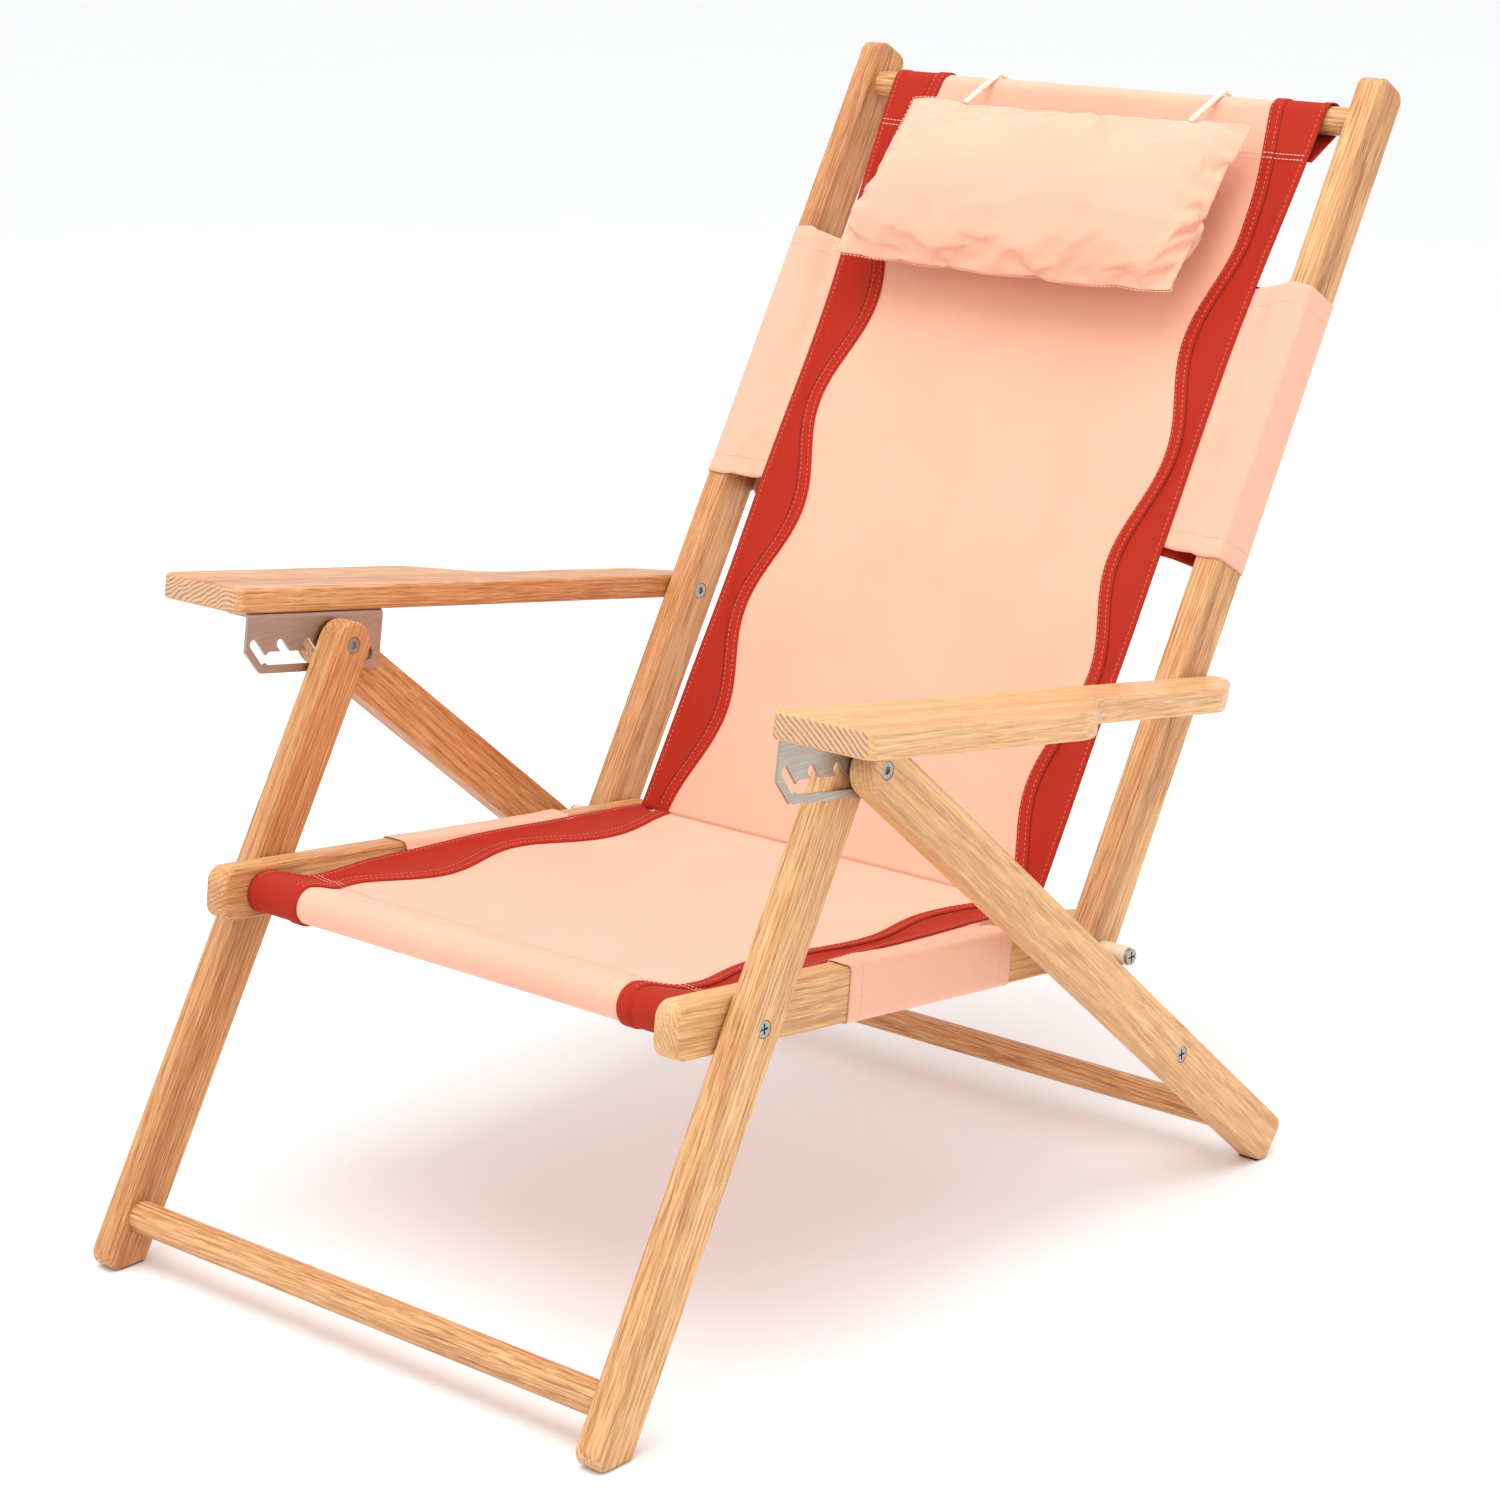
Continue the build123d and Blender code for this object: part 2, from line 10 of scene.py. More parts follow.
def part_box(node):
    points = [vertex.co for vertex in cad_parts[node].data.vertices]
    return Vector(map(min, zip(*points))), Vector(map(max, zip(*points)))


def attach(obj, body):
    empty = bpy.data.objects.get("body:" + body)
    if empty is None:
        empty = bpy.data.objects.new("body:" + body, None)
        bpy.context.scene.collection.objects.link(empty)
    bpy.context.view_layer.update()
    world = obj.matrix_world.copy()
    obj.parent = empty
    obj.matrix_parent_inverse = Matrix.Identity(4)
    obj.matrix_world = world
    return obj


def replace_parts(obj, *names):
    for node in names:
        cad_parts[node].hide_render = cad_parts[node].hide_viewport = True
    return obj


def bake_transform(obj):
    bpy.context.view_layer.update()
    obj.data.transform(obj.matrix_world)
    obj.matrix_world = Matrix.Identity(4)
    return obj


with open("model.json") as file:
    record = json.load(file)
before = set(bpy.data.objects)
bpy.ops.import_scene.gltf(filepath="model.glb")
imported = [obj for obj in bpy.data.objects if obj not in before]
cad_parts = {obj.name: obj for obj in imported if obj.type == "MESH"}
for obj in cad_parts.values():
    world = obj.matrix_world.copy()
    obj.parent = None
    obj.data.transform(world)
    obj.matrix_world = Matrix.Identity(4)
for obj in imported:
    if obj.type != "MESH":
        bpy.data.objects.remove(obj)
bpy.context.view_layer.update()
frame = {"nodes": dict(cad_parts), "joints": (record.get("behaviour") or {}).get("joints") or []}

# Folding beach chair. Metres, +Z up; the chair faces -Y, and "left" is the sitter's left, +X.
# Most shapes are drawn in the side view, where a point is a pair (y, z).

# ---- Places read from the frame ----
JOINTS = {j["name"]: np.array(j["pos_m"][1:]) for j in frame["joints"] if j["type"] == "hinge"}
SEAT_PIVOT, BACK_PIVOT = JOINTS["fold"], JOINTS["recline"]
LATCH, ARM_PIVOT = JOINTS["rear_leg_fold"], JOINTS["arm_level"]


def middle(node):
    """Side-view middle of a node's box."""
    low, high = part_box(node)
    return np.array([(low[1] + high[1]) / 2, (low[2] + high[2]) / 2])


def unit(v):
    return v / np.linalg.norm(v)


TOP_DOWEL, FRONT_DOWEL = middle("top_dowel"), middle("front_seat_dowel")
UP_BACK, ALONG_RAIL = unit(TOP_DOWEL - BACK_PIVOT), unit(BACK_PIVOT - SEAT_PIVOT)
UP_FRONT, DOWN_REAR = unit(LATCH - SEAT_PIVOT), unit(middle("rear_stretcher") - LATCH)
ARM_SLOPE = math.radians(8.7)
ARM_FORWARD = np.array([-math.cos(ARM_SLOPE), math.sin(ARM_SLOPE)])
CREASE = BACK_PIVOT + np.array([-0.0057, 0.0211])  # fold of the sling between seat and back
RAIL_LAYER = (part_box("seat_rail_left")[0][0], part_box("seat_rail_left")[1][0])  # X of its faces
UPRIGHT_LAYER = (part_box("back_upright_left")[0][0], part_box("back_upright_left")[1][0])
RAIL_HALF, UPRIGHT_HALF = 0.0195, 0.0185  # half the bars' widths in the side view
TOP_RADIUS, FRONT_RADIUS, REAR_POCKET_RADIUS = 0.011, 0.0125, 0.0118  # two dowels, and cloth on the third

CLOTH = 0.0009  # canvas thickness
SIDES = (("left", 1), ("right", -1))


def point(x, yz):
    return Vector((x, yz[0], yz[1]))


def smooth(t):
    t = min(max(t, 0.0), 1.0)
    return t * t * (3 - 2 * t)


# ---- Materials ----
def srgb(red, green, blue):
    """Linear colour from 0 to 255 screen values."""
    linear = [((c / 255 + 0.055) / 1.055) ** 2.4 if c > 10 else c / 255 / 12.92 for c in (red, green, blue)]
    return (*linear, 1.0)


WHITE = srgb(255, 255, 255)


def darker(colour, share):
    """The colour with a share of its light taken away."""
    return tuple((1 - share) * c for c in colour[:3]) + (1.0,)


class Shader:
    """A material's node tree, with short calls to add and join nodes."""

    def __init__(self, name, **sockets):
        self.material = bpy.data.materials.new(name)
        self.material.use_nodes = True
        self.tree = self.material.node_tree
        self.bsdf = self.tree.nodes["Principled BSDF"]
        for socket, value in sockets.items():
            self.bsdf.inputs[socket.replace("_", " ")].default_value = value

    def node(self, kind, links=None, values=None, **settings):
        made = self.tree.nodes.new(kind)
        for name, value in settings.items():
            setattr(made, name, value)
        for socket, value in (values or {}).items():
            made.inputs[socket].default_value = value
        for socket, source in (links or {}).items():
            self.tree.links.new(source, made.inputs[socket])
        return made

    def coordinates(self, kind):
        return self.node("ShaderNodeTexCoord").outputs[kind]

    def mapping(self, vector, **values):
        """Coordinates turned, moved or scaled: Rotation, Location, Scale."""
        return self.node("ShaderNodeMapping", {"Vector": vector}, values).outputs["Vector"]

    def ramp(self, source, stops):
        """Colours or grey values at places from 0 to 1 of a source."""
        made = self.node("ShaderNodeValToRGB", {"Fac": source})
        elements = made.color_ramp.elements
        while len(elements) < len(stops):
            elements.new(0.5)
        for element, (place, colour) in zip(elements, stops):
            element.position = place
            element.color = colour if isinstance(colour, tuple) else (colour, colour, colour, 1)
        return made.outputs["Color"]

    def mix(self, a, b, factor, blend="MIX"):
        made = self.node("ShaderNodeMix", data_type="RGBA", blend_type=blend)
        for index, value in ((0, factor), (6, a), (7, b)):
            if isinstance(value, (float, tuple)):
                made.inputs[index].default_value = value
            else:
                self.tree.links.new(value, made.inputs[index])
        return made.outputs[2]

    def noise(self, vector, scale, detail=2.0):
        values = {"Scale": scale, "Detail": detail}
        return self.node("ShaderNodeTexNoise", {"Vector": vector}, values).outputs["Fac"]

    def wave(self, vector, scale, distortion, detail, detail_scale, **settings):
        values = {"Scale": scale, "Distortion": distortion, "Detail": detail, "Detail Scale": detail_scale}
        return self.node("ShaderNodeTexWave", {"Vector": vector}, values, **settings).outputs["Fac"]

    def to(self, socket, source):
        self.tree.links.new(source, self.bsdf.inputs[socket])

    def bump(self, height, strength, distance):
        made = self.node("ShaderNodeBump", {"Height": height}, {"Strength": strength, "Distance": distance})
        self.to("Normal", made.outputs["Normal"])

    def math(self, operation, a, b):
        made = self.node("ShaderNodeMath", operation=operation)
        for index, value in enumerate((a, b)):
            if isinstance(value, float):
                made.inputs[index].default_value = value
            else:
                self.tree.links.new(value, made.inputs[index])
        return made.outputs[0]


WOOD_PALE, WOOD_MID, WOOD_DARK = srgb(235, 190, 134), srgb(210, 157, 100), srgb(166, 112, 62)
WOOD_PORE, WOOD_FLECK, WOOD_WARM_AND_SHADE = srgb(104, 62, 30), srgb(248, 216, 170), srgb(184, 104, 46)
END_PALE, END_STRIPE = srgb(214, 170, 128), srgb(140, 96, 64)


def wood_coordinates(s, along, seed):
    """Object coordinates with Y along the grain, moved to a place of the bar's own in the log."""
    turn = (0.0, 0.0, math.pi / 2) if along is None else (-math.atan2(along[1], along[0]), 0.0, 0.0)
    turned = s.mapping(s.coordinates("Object"), Rotation=turn)
    tilt = (0.022 * math.sin(seed * 2.3), 0.0, 0.02 * math.cos(seed * 1.7))
    offset = (0.041 * math.sin(seed * 5.1) + 0.07, 0.3 * seed, 0.036 * math.cos(seed * 3.3) - 0.06)
    return s.mapping(turned, Rotation=tilt, Location=offset)


def growth_rings(s, where):
    """Yearly rings round the log's axis, swaying a little along it."""
    sway = s.noise(s.mapping(where, Scale=(1.0, 0.10, 1.0)), 22.0, 3.0)
    swayed = s.node("ShaderNodeVectorMath", operation="MULTIPLY_ADD")
    s.tree.links.new(sway, swayed.inputs[0])
    swayed.inputs[1].default_value = (0.020, 0.0, 0.020)
    s.tree.links.new(where, swayed.inputs[2])
    return s.wave(swayed.outputs[0], 92.0, 0.5, 2.0, 1.4, wave_type="RINGS", rings_direction="Y")


def end_grain_mask(s, along):
    """1 on the faces square to the grain."""
    facing = s.node("ShaderNodeVectorMath", operation="DOT_PRODUCT")
    s.tree.links.new(s.coordinates("Normal"), facing.inputs[0])
    facing.inputs[1].default_value = (0.0, along[0], along[1])
    return s.ramp(s.math("ABSOLUTE", facing.outputs["Value"], 0.0), [(0.80, 0.0), (0.90, 1.0)])


def wood(name, along, seed, warmth_and_shade, pale=0.0, end_grain=0.2, coat=0.08):
    """Oiled hardwood with its grain along a side-view direction, or along X where along is None."""
    s = Shader(name, Coat_Weight=coat, Coat_Roughness=0.35)
    where = wood_coordinates(s, along, seed)
    rings = growth_rings(s, where)
    grain = s.mapping(where, Scale=(1.0, 0.03, 1.0))
    fibre, fine, tone = s.noise(grain, 560.0, 4.0), s.noise(grain, 1250.0, 2.0), s.noise(grain, 40.0, 3.0)
    pores = s.ramp(fine, [(0.54, 0.0), (0.64, 1.0)])
    flecks = s.ramp(fine, [(0.34, 1.0), (0.44, 0.0)])
    pore_belt = s.ramp(rings, [(0.25, 1.0), (0.75, 0.30)])
    marks = s.math("MULTIPLY", pores, pore_belt)
    base = s.ramp(tone, [(0.28, WOOD_DARK), (0.44, WOOD_MID), (0.66, WOOD_PALE)])
    late = s.ramp(rings, [(0.0, srgb(206, 170, 132)), (0.30, srgb(244, 234, 222)), (1.0, WHITE)])
    streaks = s.ramp(fibre, [(0.34, srgb(196, 162, 124)), (0.60, WHITE)])
    colour = s.mix(base, late, 0.46, "MULTIPLY")
    colour = s.mix(colour, streaks, 0.60, "MULTIPLY")
    colour = s.mix(colour, WOOD_PORE, s.math("MULTIPLY", marks, 0.62))
    colour = s.mix(colour, WOOD_FLECK, s.math("MULTIPLY", flecks, 0.45))
    # The dark warm colour gives a bar its warmer tone; on the far side's bars it is also painted shade.
    colour = s.mix(colour, WOOD_WARM_AND_SHADE, 0.05 + warmth_and_shade)
    if pale:
        colour = s.mix(colour, WOOD_PALE, pale)
    if along is not None:
        dark_rings = s.ramp(rings, [(0.0, 1.0), (0.8, 0.0)])
        stripes = s.math("MULTIPLY", dark_rings, s.ramp(fibre, [(0.3, 1.0), (0.7, 0.5)]))
        end_colour = s.mix(END_PALE, END_STRIPE, stripes)
        colour = s.mix(colour, end_colour, s.math("MULTIPLY", end_grain_mask(s, along), end_grain))
    s.to("Base Color", colour)
    s.to("Roughness", s.ramp(fibre, [(0.3, 0.58), (0.7, 0.42)]))
    s.bump(s.math("SUBTRACT", s.math("MULTIPLY", fibre, 0.5), marks), 0.35, 0.0004)
    return s.material


THREAD_PITCH = 0.00055  # from one thread of the canvas to the next


def canvas(name, lit, deep, sheen=0.25, glow=0.0):
    """Plain-woven cotton. Its UV map is in metres, across and along the cloth."""
    s = Shader(name, Roughness=0.86, Sheen_Weight=sheen, Sheen_Roughness=0.5, Specular_IOR_Level=0.25)
    uv = s.node("ShaderNodeUVMap", uv_map="weave").outputs["UV"]
    scale = math.pi / (10 * THREAD_PITCH)
    warp, weft = (s.wave(uv, scale, 0.6, 1.0, 40.0, wave_type="BANDS", bands_direction=direction)
                  for direction in ("X", "Y"))
    weave = s.math("MULTIPLY", warp, weft)
    thick_threads = ((900.0, 26.0, 1.0), (26.0, 900.0, 1.0))
    slub = s.math("ADD", *(s.noise(s.mapping(uv, Scale=stretch), 1.0) for stretch in thick_threads))
    # Darker where the threads dip between each other: the weave's own pattern, with painted shade in its
    # hollows.
    weave_hollow_shade = s.ramp(weave, [(0.0, srgb(222, 216, 210)), (0.5, WHITE)])
    blotches = s.ramp(s.noise(uv, 9.0, 3.0), [(0.3, srgb(236, 230, 226)), (0.6, WHITE)])
    colour = s.mix(deep, lit, s.ramp(slub, [(0.35, 0.0), (0.62, 1.0)]))
    colour = s.mix(colour, weave_hollow_shade, 0.6, "MULTIPLY")
    s.to("Base Color", s.mix(colour, blotches, 0.3, "MULTIPLY"))
    if glow:
        s.bsdf.inputs["Subsurface Weight"].default_value = glow
        s.bsdf.inputs["Subsurface Radius"].default_value = (0.004, 0.0022, 0.0015)
        s.bsdf.inputs["Subsurface Scale"].default_value = 1.0
    s.bump(s.math("ADD", weave, s.math("MULTIPLY", slub, 0.6)), 0.30, 0.00025)
    return s.material


def brushed(name, colour, along):
    """Brushed stainless steel, its scratches along a direction."""
    s = Shader(name, Metallic=1.0, Anisotropic=0.4)
    where = s.coordinates("Object")
    scratches = tuple(40.0 if abs(a) > 0.5 else 1800.0 for a in along)
    lines = s.noise(s.mapping(where, Scale=scratches), 1.0, 2.0)
    smear = s.math("MULTIPLY", s.noise(where, 30.0, 3.0), 0.5)
    s.to("Base Color", s.mix(colour, darker(colour, 0.2), s.ramp(lines, [(0.35, 0.0), (0.7, 1.0)])))
    s.to("Roughness", s.ramp(s.math("ADD", lines, smear), [(0.4, 0.24), (1.0, 0.46)]))
    s.bump(lines, 0.12, 0.0001)
    return s.material


def plain(name, colour, roughness, speck=0.08, scale=300.0, **sockets):
    """Moulded or spun material with faint mottling in its colour and surface."""
    s = Shader(name, Roughness=roughness, **sockets)
    grains = s.noise(s.coordinates("Object"), scale, 3.0)
    s.to("Base Color", s.mix(darker(colour, speck), colour, s.ramp(grains, [(0.35, 0.0), (0.65, 1.0)])))
    s.bump(grains, 0.2, 0.0002)
    return s.material


PEACH = canvas("peach_canvas", srgb(246, 187, 161), srgb(239, 175, 148), glow=0.12)
RED = canvas("red_canvas", srgb(177, 40, 17), srgb(156, 30, 11), sheen=0.02)
STEEL = brushed("brushed_steel", (0.48, 0.42, 0.37, 1.0), (0.0, 1.0, 0.0))
BOLT_STEEL = brushed("bolt_steel", (0.40, 0.38, 0.35, 1.0), (1.0, 0.0, 0.0))
NYLON = plain("cream_nylon", srgb(236, 214, 184), 0.42, Subsurface_Weight=0.1)
# Near-black finish of the thin pads under the feet: a dark strip along each foot's bottom edge.
DARK_FOOT_PAD = plain("dark_foot_pad", srgb(44, 40, 38), 0.75, 0.25)
THREAD_RED = plain("red_thread", srgb(222, 112, 86), 0.7, 0.2, 1500.0)
# Near-black red for the line laid in each border's groove: painted shade of the crease beside the band.
GROOVE_SHADE_THREAD = plain("groove_shade_thread", srgb(96, 20, 12), 0.8, 0.2, 1500.0)
THREAD_WHITE = plain("white_thread", srgb(246, 226, 210), 0.7, 0.1, 1500.0)
THREAD_PEACH = plain("peach_thread", srgb(238, 186, 160), 0.7, 0.1, 1500.0)
ROPE = plain("cotton_rope", srgb(250, 236, 214), 0.85, 0.10, 2500.0, Sheen_Weight=0.3)

# ---- CAD nodes keep their shape and get their finish ----
GRAIN = {"seat_rail": ALONG_RAIL, "front_leg": UP_FRONT, "rear_leg": DOWN_REAR, "back_upright": UP_BACK,
         "arm": ARM_FORWARD}
# How pale and how warm the left side's bars are; the right side's are all warmer and darker, partly painted
# shade.
PALE = {"arm": 0.30, "rear_leg": 0.30, "front_leg": 0.05, "seat_rail": 0.25}
WARM = {"back_upright": 0.16, "seat_rail": 0.02}
ARM_FINISH = {"end_grain": 1.0, "coat": 0.35}
DOWELS = ("front_seat_dowel", "rear_seat_dowel", "top_dowel", "front_stretcher", "rear_stretcher")
BRACKETS = ("arm_bracket_left", "arm_bracket_right")
FASTENERS = ("pivot_washers", "seat_pivot_bolts", "latch_pins_inner", "latch_pins_outer", "latch_washers",
             "rear_leg_screws", "back_pivot_bolts", "arm_pivot_bolts", "arm_washers", "barrel_nuts",
             "bracket_screws")


def finish_nodes(nodes, material):
    for node in nodes:
        materials = frame["nodes"][node].data.materials
        materials.clear()
        materials.append(material)


for index, (part, along) in enumerate(GRAIN.items()):
    finish = ARM_FINISH if part == "arm" else {}
    left = wood(f"wood_{part}_left", along, 1.0 + index, WARM.get(part, 0.04), PALE.get(part, 0.0), **finish)
    # The far side's bars take more of the dark warm colour: partly their own tone, partly painted shade.
    right = wood(f"wood_{part}_right", along, 1.45 + index, 0.28, **finish)
    finish_nodes([f"{part}_left"], left)
    finish_nodes([f"{part}_right"], right)
for index, node in enumerate(DOWELS):
    finish_nodes([node], wood(f"wood_{node}", None, 7.3 + index, 0.08))
finish_nodes(BRACKETS, STEEL)
finish_nodes(FASTENERS, BOLT_STEEL)
finish_nodes(["back_pegs"], NYLON)
finish_nodes(["front_foot_pads", "rear_foot_pads"], DARK_FOOT_PAD)


# ---- Mesh helpers ----
def mesh_object(name, vertices, faces, material, uvs=None):
    mesh = bpy.data.meshes.new(name)
    mesh.from_pydata([tuple(v) for v in vertices], [], faces)
    mesh.update()
    if uvs is not None:
        layer = mesh.uv_layers.new(name="weave")
        flat = np.array(uvs, float)[[loop.vertex_index for loop in mesh.loops]]
        layer.data.foreach_set("uv", flat.reshape(-1))
    mesh.polygons.foreach_set("use_smooth", [True] * len(mesh.polygons))
    mesh.materials.append(material)
    made = bpy.data.objects.new(name, mesh)
    bpy.context.scene.collection.objects.link(made)
    return made


def freeze(obj):
    """Turns the object and its modifiers into a plain mesh."""
    bpy.context.view_layer.update()
    depsgraph = bpy.context.evaluated_depsgraph_get()
    mesh = bpy.data.meshes.new_from_object(obj.evaluated_get(depsgraph), depsgraph=depsgraph)
    obj.modifiers.clear()
    obj.data = mesh
    return obj


def thicken(obj, thickness=CLOTH):
    """Gives a sheet its thickness, half on each side."""
    shell = obj.modifiers.new("thickness", "SOLIDIFY")
    shell.thickness, shell.offset = thickness, 0.0
    return freeze(obj)


def grid_faces(rows, columns):
    """Quads between points that are listed row by row."""
    faces = []
    for i in range(rows - 1):
        for j in range(columns - 1):
            a = i * columns + j
            faces.append((a, a + 1, a + columns + 1, a + columns))
    return faces


def tube_faces(first, rings, sides):
    """Faces of a closed tube whose rings of points are listed from one vertex on."""
    faces = []
    for r in range(rings - 1):
        a = first + r * sides
        for c in range(sides):
            d = (c + 1) % sides
            faces.append((a + c, a + d, a + sides + d, a + sides + c))
    faces.append(tuple(first + c for c in reversed(range(sides))))
    faces.append(tuple(first + (rings - 1) * sides + c for c in range(sides)))
    return faces


def distances(route):
    """How far along a route each of its points is."""
    return np.concatenate([[0], np.cumsum(np.linalg.norm(np.diff(route, axis=0), axis=1))])


def on_route(t, steps, values):
    """A route's values, such as its points or normals, at a distance along it."""
    return np.array([np.interp(t, steps, values[:, c]) for c in range(3)])


# ---- The sling's side-view line ----
class Line:
    """Side-view line of one canvas panel: straight from the crease to a dowel, round it, and back to its own
    wrong side, where the pocket is sewn. Places are distances from the crease."""

    def __init__(self, centre, radius, turn, overlap, dip=0.0, step=0.004):
        radius += CLOTH / 2 + 0.0002
        reach = centre - CREASE
        heading = math.atan2(reach[1], reach[0]) + turn * math.asin(radius / np.linalg.norm(reach))
        self.along = np.array([math.cos(heading), math.sin(heading)])
        self.out = turn * np.array([-self.along[1], self.along[0]])
        self.length = float(reach @ self.along)
        join = np.array([radius - 1.6 * CLOTH - dip, -overlap])
        size = np.linalg.norm(join)
        arc = math.atan2(join[1], join[0]) - math.acos(radius / size) + 2 * math.pi
        points, normals, places = [], [], []
        for s in np.linspace(0, self.length, int(self.length / step)):
            points.append(CREASE + self.along * s)
            normals.append(self.out)
            places.append(s)
        for angle in np.linspace(0, arc, 40)[1:]:
            normal = math.cos(angle) * self.out + math.sin(angle) * self.along
            points.append(centre + radius * normal)
            normals.append(normal)
            places.append(self.length + radius * angle)
        target = centre + join[0] * self.out + join[1] * self.along
        tail = target - points[-1]
        for t in np.linspace(0, 1, 10)[1:]:
            points.append(centre + radius * normal + tail * t)
            normals.append(normal)
            places.append(self.length + radius * arc + np.linalg.norm(tail) * t)
        self.points, self.normals, self.places = np.array(points), np.array(normals), np.array(places)
        self.pocket = self.length - overlap

    def at(self, s, lift=0.0):
        """Side-view point at a distance from the crease, moved out from the cloth."""
        lifted = self.points + lift * self.normals
        return np.array([np.interp(s, self.places, lifted[:, c]) for c in (0, 1)])

    def normal(self, s):
        return self.at(s, 1.0) - self.at(s)


POCKET = 0.038  # from a pocket's seam to the place where the cloth meets the dowel
BACK = Line(TOP_DOWEL, TOP_RADIUS, 1, POCKET)
SEAM_DIP = 0.006  # how far the front pocket's seam hangs below the dowel's top
SEAT = Line(FRONT_DOWEL, FRONT_RADIUS, -1, POCKET, SEAM_DIP)
BACK_WAVE, SEAT_WAVE = 0.181, 0.186  # lengths of the borders' waves
SLING_HALF = 0.2  # the panels sag from this far on one side to this far on the other


def back_outer(s):
    """Half width of the back at a distance from the crease: fuller towards the top."""
    return 0.1972 + 0.0115 * smooth((s - 0.430) / 0.220)


def back_inner(s):
    """Waves up to the last crest, then a straight edge that leads in over the top dowel."""
    last_crest = 0.5425
    wave = 0.1595 - 0.0100 * math.cos(2 * math.pi * (min(s, last_crest) - 0.271) / BACK_WAVE)
    return wave - 0.0115 * smooth((s - 0.565) / 0.100)


def seat_outer(s):
    """Drawn in at the front pocket's seam, and full width round the dowel."""
    return 0.2008 - 0.0060 * smooth((s - 0.290) / 0.065) + 0.0115 * smooth((s - SEAT.pocket) / 0.024)


def seat_inner(s):
    """Waves, then a straight edge that leads in over the front dowel."""
    wave = 0.1590 - 0.0090 * math.cos(2 * math.pi * (s - 0.080) / SEAT_WAVE)
    return wave + (0.1560 - wave) * smooth((s - 0.330) / 0.060)


def ripple(x, s, size, seed):
    """Soft unevenness of a panel."""
    return size * noise.noise(Vector((x * 9.0 + seed, s * 9.0, seed)))


def back_sag(x, s):
    """How far the back panel stands out from its straight line; negative where it hangs behind."""
    if s > BACK.length:
        return 0.0
    across = max(0.0, 1 - (x / SLING_HALF) ** 2)
    rise = math.sin(math.pi * min(1.0, s / BACK.length)) ** 0.8
    return (-0.011 * across - 0.0015) * rise + ripple(x, s, 0.0018, 3.0) * rise


def seat_sag(x, s):
    """The same for the seat, with the dip of its front pocket's seam."""
    if s > SEAT.length:
        return 0.0
    across = max(0.0, 1 - (x / SLING_HALF) ** 2)
    rise = math.sin(math.pi * min(1.0, s / SEAT.length)) ** 0.8
    past_seam = (s - SEAT.pocket) / (SEAT.length - SEAT.pocket)
    dip = SEAM_DIP * (1 - smooth(past_seam) if past_seam > 0 else (s / SEAT.pocket) ** 2)
    return (-0.015 * across + 0.0014) * rise + ripple(x, s, 0.0016, 8.0) * rise - dip


def panel_cloth(name, line, sag, edge, columns=61):
    """Peach cloth along a sling line, out to an edge on each side."""
    vertices, uvs = [], []
    for s in line.places:
        base, out = line.at(s), line.normal(s)
        for j in range(columns):
            x = -edge(s) + 2 * edge(s) * j / (columns - 1)
            vertices.append(point(x, base + out * sag(x, s)))
            uvs.append((x, s))
    return thicken(mesh_object(name, vertices, grid_faces(len(line.places), columns), PEACH, uvs))


def stitches(name, route, normals, material, pitch, length, radius=0.00028):
    """A row of thread stitches along a route of points, each a small raised bow."""
    route, normals = np.array(route, float), np.array(normals, float)
    steps = distances(route)
    vertices, faces, sides = [], [], 5
    for k in range(int(steps[-1] / pitch)):
        start, end = k * pitch, k * pitch + length
        a, crest, b = (on_route(t, steps, route) for t in (start, (start + end) / 2, end))
        normal = unit(on_route((start + end) / 2, steps, normals))
        side = np.cross(unit(b - a), normal)
        # The bow's rings: the middle of each, its size and its height, in thread radii.
        rings = ((a, 0.3, -0.2), (a * 0.8 + b * 0.2, 1.0, 0.55), (crest, 1.1, 0.8),
                 (a * 0.2 + b * 0.8, 1.0, 0.55), (b, 0.3, -0.2))
        faces += tube_faces(len(vertices), len(rings), sides)
        for centre, size, height in rings:
            for c in range(sides):
                angle = 2 * math.pi * c / sides
                spoke = math.cos(angle) * side + math.sin(angle) * normal
                vertices.append(centre + radius * (height * normal + size * spoke))
    return mesh_object(name, vertices, faces, material)


def along_line(line, sag, x_of, lift, start, end, step=0.003):
    """Route and normals along a sling line at an X that is a function of the distance from the crease."""
    route, normals = [], []
    for s in np.arange(start, end, step):
        out, x = line.normal(s), x_of(s)
        route.append(point(x, line.at(s) + out * (lift + sag(x, s))))
        normals.append((0.0, out[0], out[1]))
    return route, normals


def bend_seat(obj):
    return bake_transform(obj)


def bend_back(obj):
    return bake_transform(obj)


BAND, HEM = 0.0105, 0.0075  # doubled cloth along the border's wavy edge and its outer edge
STEP = 0.0012  # width of the step beside doubled cloth
BORDER_LIFT = 0.95 * CLOTH  # how far the border stands above its panel


def border_relief(across, width, flat):
    """How far the border stands up at a distance from its wavy edge. flat is 1 where it lies on a dowel."""
    band = 0.0011 * smooth(across / STEP) * (1 - smooth((across - BAND) / STEP))
    middle_part = min(max((across - BAND) / (width - BAND - HEM), 0.0), 1.0)
    cup = -0.0024 * math.sin(math.pi * middle_part) * (1 - flat)
    hem = 0.0007 * smooth((across - width + HEM) / STEP)
    return band + cup + hem


def border_columns(width):
    """Distances from the wavy edge, close together at the steps."""
    band = [0, 0.0006, STEP, 0.0035, 0.007, BAND - 0.0004, BAND + 0.0003, BAND + STEP]
    between = np.linspace(BAND + 0.004, width - HEM - 0.003, 8)
    hem = [width - HEM, width - HEM + 0.0006, width - HEM + STEP, width - 0.003, width]
    return [*band, *between, *hem]


